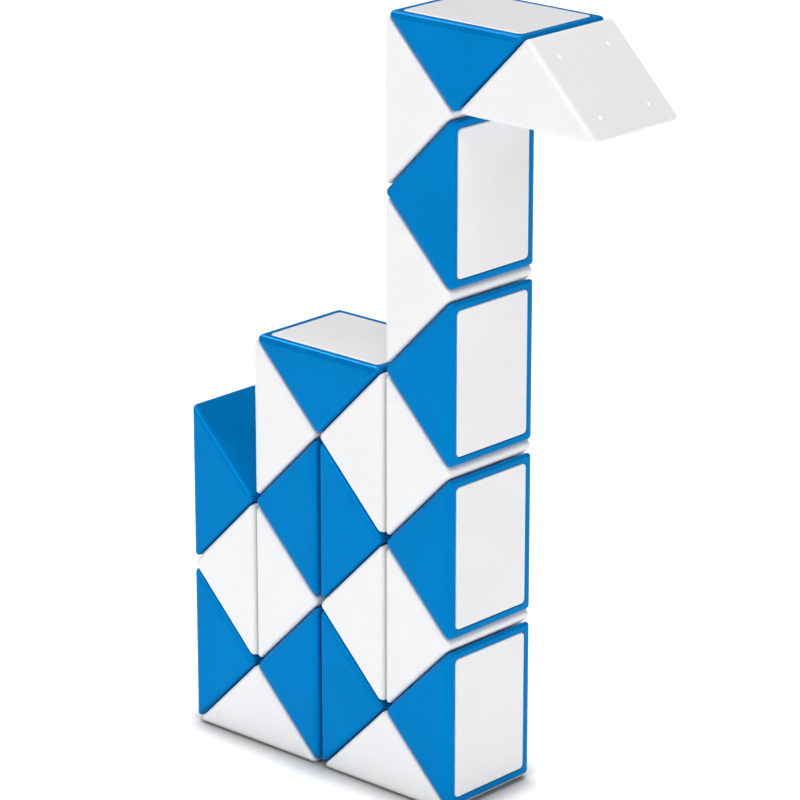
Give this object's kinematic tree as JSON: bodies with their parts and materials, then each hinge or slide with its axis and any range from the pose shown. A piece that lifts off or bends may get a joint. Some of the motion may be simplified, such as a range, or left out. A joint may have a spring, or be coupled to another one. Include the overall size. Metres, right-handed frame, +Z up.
{
  "type": "twisty snake puzzle",
  "caption": "Chain of hollow triangular wedges in two alternating colours, each turning on a sprung pivot screw against the next, folded flat as a standing long-necked animal.",
  "frame": {"origin": "middle of the underside that the folded figure stands on, centred in length and in thickness", "axes": "+Z up along the neck, +X towards the head, +Y through the thickness of the flat figure"},
  "size_m": [0.0826, 0.0196, 0.1269],
  "materials": {
    "white_plastic": "moulded, satin gloss",
    "blue_plastic": "moulded, satin gloss",
    "cover_plastic": "moulded, satin gloss",
    "steel": "zinc-plated, satin"
  },
  "bodies": {
    "wedge_01": {"wedge_01_shell": "white_plastic"},
    "wedge_02": {"wedge_02_shell": "blue_plastic", "wedge_02_cover": "cover_plastic", "pivot_01_screw_and_spring": "steel"},
    "wedge_03": {"wedge_03_shell": "white_plastic", "pivot_02_screw_and_spring": "steel"},
    "wedge_04": {"wedge_04_shell": "blue_plastic", "wedge_04_cover": "cover_plastic", "pivot_03_screw_and_spring": "steel"},
    "wedge_05": {"wedge_05_shell": "white_plastic", "pivot_04_screw_and_spring": "steel"},
    "wedge_06": {"wedge_06_shell": "blue_plastic", "wedge_06_cover": "cover_plastic", "pivot_05_screw_and_spring": "steel"},
    "wedge_07": {"wedge_07_shell": "white_plastic", "pivot_06_screw_and_spring": "steel"},
    "wedge_08": {"wedge_08_shell": "blue_plastic", "wedge_08_cover": "cover_plastic", "pivot_07_screw_and_spring": "steel"},
    "wedge_09": {"wedge_09_shell": "white_plastic", "pivot_08_screw_and_spring": "steel"},
    "wedge_10": {"wedge_10_shell": "blue_plastic", "wedge_10_cover": "cover_plastic", "pivot_09_screw_and_spring": "steel"},
    "wedge_11": {"wedge_11_shell": "white_plastic", "pivot_10_screw_and_spring": "steel"},
    "wedge_12": {"wedge_12_shell": "blue_plastic", "wedge_12_cover": "cover_plastic", "pivot_11_screw_and_spring": "steel"},
    "wedge_13": {"wedge_13_shell": "white_plastic", "pivot_12_screw_and_spring": "steel"},
    "wedge_14": {"wedge_14_shell": "blue_plastic", "wedge_14_cover": "cover_plastic", "pivot_13_screw_and_spring": "steel"},
    "wedge_15": {"wedge_15_shell": "white_plastic", "pivot_14_screw_and_spring": "steel"},
    "wedge_16": {"wedge_16_shell": "blue_plastic", "wedge_16_cover": "cover_plastic", "pivot_15_screw_and_spring": "steel"},
    "wedge_17": {"wedge_17_shell": "white_plastic", "pivot_16_screw_and_spring": "steel"},
    "wedge_18": {"wedge_18_shell": "blue_plastic", "wedge_18_cover": "cover_plastic", "pivot_17_screw_and_spring": "steel"},
    "wedge_19": {"wedge_19_shell": "white_plastic", "pivot_18_screw_and_spring": "steel"},
    "wedge_20": {"wedge_20_shell": "blue_plastic", "wedge_20_cover": "cover_plastic", "pivot_19_screw_and_spring": "steel"},
    "wedge_21": {"wedge_21_shell": "white_plastic", "pivot_20_screw_and_spring": "steel"},
    "wedge_22": {"wedge_22_shell": "blue_plastic", "wedge_22_cover": "cover_plastic", "pivot_21_screw_and_spring": "steel"},
    "wedge_23": {"wedge_23_shell": "white_plastic", "pivot_22_screw_and_spring": "steel"},
    "wedge_24": {"wedge_24_shell": "blue_plastic", "wedge_24_cover": "cover_plastic", "pivot_23_screw_and_spring": "steel"}
  },
  "joints": [
    {"name": "twist_01", "type": "hinge", "parent": "wedge_02", "child": "wedge_01", "pos_m": [0.02211, 0, 0.12001], "axis": [-0.7071, 0, 0.7071], "range_deg": [-95, 95]},
    {"name": "twist_02", "type": "hinge", "parent": "wedge_03", "child": "wedge_02", "pos_m": [0.00797, 0, 0.12001], "axis": [0.7071, 0, 0.7071], "continuous": true},
    {"name": "twist_03", "type": "hinge", "parent": "wedge_04", "child": "wedge_03", "pos_m": [0.00797, 0, 0.10587], "axis": [0.7071, 0, -0.7071], "range_deg": [-95, 95]},
    {"name": "twist_04", "type": "hinge", "parent": "wedge_05", "child": "wedge_04", "pos_m": [0.00797, 0, 0.09172], "axis": [0.7071, 0, 0.7071], "continuous": true},
    {"name": "twist_05", "type": "hinge", "parent": "wedge_06", "child": "wedge_05", "pos_m": [0.00797, 0, 0.07758], "axis": [0.7071, 0, -0.7071], "range_deg": [-95, 95]},
    {"name": "twist_06", "type": "hinge", "parent": "wedge_07", "child": "wedge_06", "pos_m": [0.00797, 0, 0.06344], "axis": [0.7071, 0, 0.7071], "continuous": true},
    {"name": "twist_07", "type": "hinge", "parent": "wedge_08", "child": "wedge_07", "pos_m": [0.00797, 0, 0.0493], "axis": [0.7071, 0, -0.7071], "range_deg": [-3, 3]},
    {"name": "twist_08", "type": "hinge", "parent": "wedge_09", "child": "wedge_08", "pos_m": [0.00797, 0, 0.03515], "axis": [-0.7071, 0, -0.7071], "range_deg": [-3, 3]},
    {"name": "twist_09", "type": "hinge", "parent": "wedge_10", "child": "wedge_09", "pos_m": [0.00797, 0, 0.02101], "axis": [0.7071, 0, -0.7071], "range_deg": [-3, 3]},
    {"name": "twist_10", "type": "hinge", "parent": "wedge_11", "child": "wedge_10", "pos_m": [0.00797, 0, 0.00687], "axis": [0.7071, 0, 0.7071], "range_deg": [-3, 3]},
    {"name": "twist_11", "type": "hinge", "parent": "wedge_11", "child": "wedge_12", "pos_m": [-0.00617, 0, 0.00687], "axis": [-0.7071, 0, 0.7071], "range_deg": [-3, 3]},
    {"name": "twist_12", "type": "hinge", "parent": "wedge_12", "child": "wedge_13", "pos_m": [-0.00617, 0, 0.02101], "axis": [-0.7071, 0, -0.7071], "range_deg": [-3, 3]},
    {"name": "twist_13", "type": "hinge", "parent": "wedge_13", "child": "wedge_14", "pos_m": [-0.00617, 0, 0.03515], "axis": [0.7071, 0, -0.7071], "range_deg": [-3, 3]},
    {"name": "twist_14", "type": "hinge", "parent": "wedge_14", "child": "wedge_15", "pos_m": [-0.00617, 0, 0.0493], "axis": [-0.7071, 0, -0.7071], "range_deg": [-3, 3]},
    {"name": "twist_15", "type": "hinge", "parent": "wedge_15", "child": "wedge_16", "pos_m": [-0.00617, 0, 0.06344], "axis": [-0.7071, 0, 0.7071], "range_deg": [-3, 3]},
    {"name": "twist_16", "type": "hinge", "parent": "wedge_16", "child": "wedge_17", "pos_m": [-0.02031, 0, 0.06344], "axis": [0.7071, 0, 0.7071], "range_deg": [-3, 3]},
    {"name": "twist_17", "type": "hinge", "parent": "wedge_17", "child": "wedge_18", "pos_m": [-0.02031, 0, 0.0493], "axis": [0.7071, 0, -0.7071], "range_deg": [-3, 3]},
    {"name": "twist_18", "type": "hinge", "parent": "wedge_18", "child": "wedge_19", "pos_m": [-0.02031, 0, 0.03515], "axis": [0.7071, 0, 0.7071], "range_deg": [-3, 3]},
    {"name": "twist_19", "type": "hinge", "parent": "wedge_19", "child": "wedge_20", "pos_m": [-0.02031, 0, 0.02101], "axis": [-0.7071, 0, 0.7071], "range_deg": [-3, 3]},
    {"name": "twist_20", "type": "hinge", "parent": "wedge_20", "child": "wedge_21", "pos_m": [-0.02031, 0, 0.00687], "axis": [-0.7071, 0, -0.7071], "range_deg": [-3, 3]},
    {"name": "twist_21", "type": "hinge", "parent": "wedge_21", "child": "wedge_22", "pos_m": [-0.03446, 0, 0.00687], "axis": [-0.7071, 0, 0.7071], "range_deg": [-3, 3]},
    {"name": "twist_22", "type": "hinge", "parent": "wedge_22", "child": "wedge_23", "pos_m": [-0.03446, 0, 0.02101], "axis": [-0.7071, 0, -0.7071], "range_deg": [-3, 3]},
    {"name": "twist_23", "type": "hinge", "parent": "wedge_23", "child": "wedge_24", "pos_m": [-0.03446, 0, 0.03515], "axis": [0.7071, 0, -0.7071], "range_deg": [-8, 8]}
  ]
}
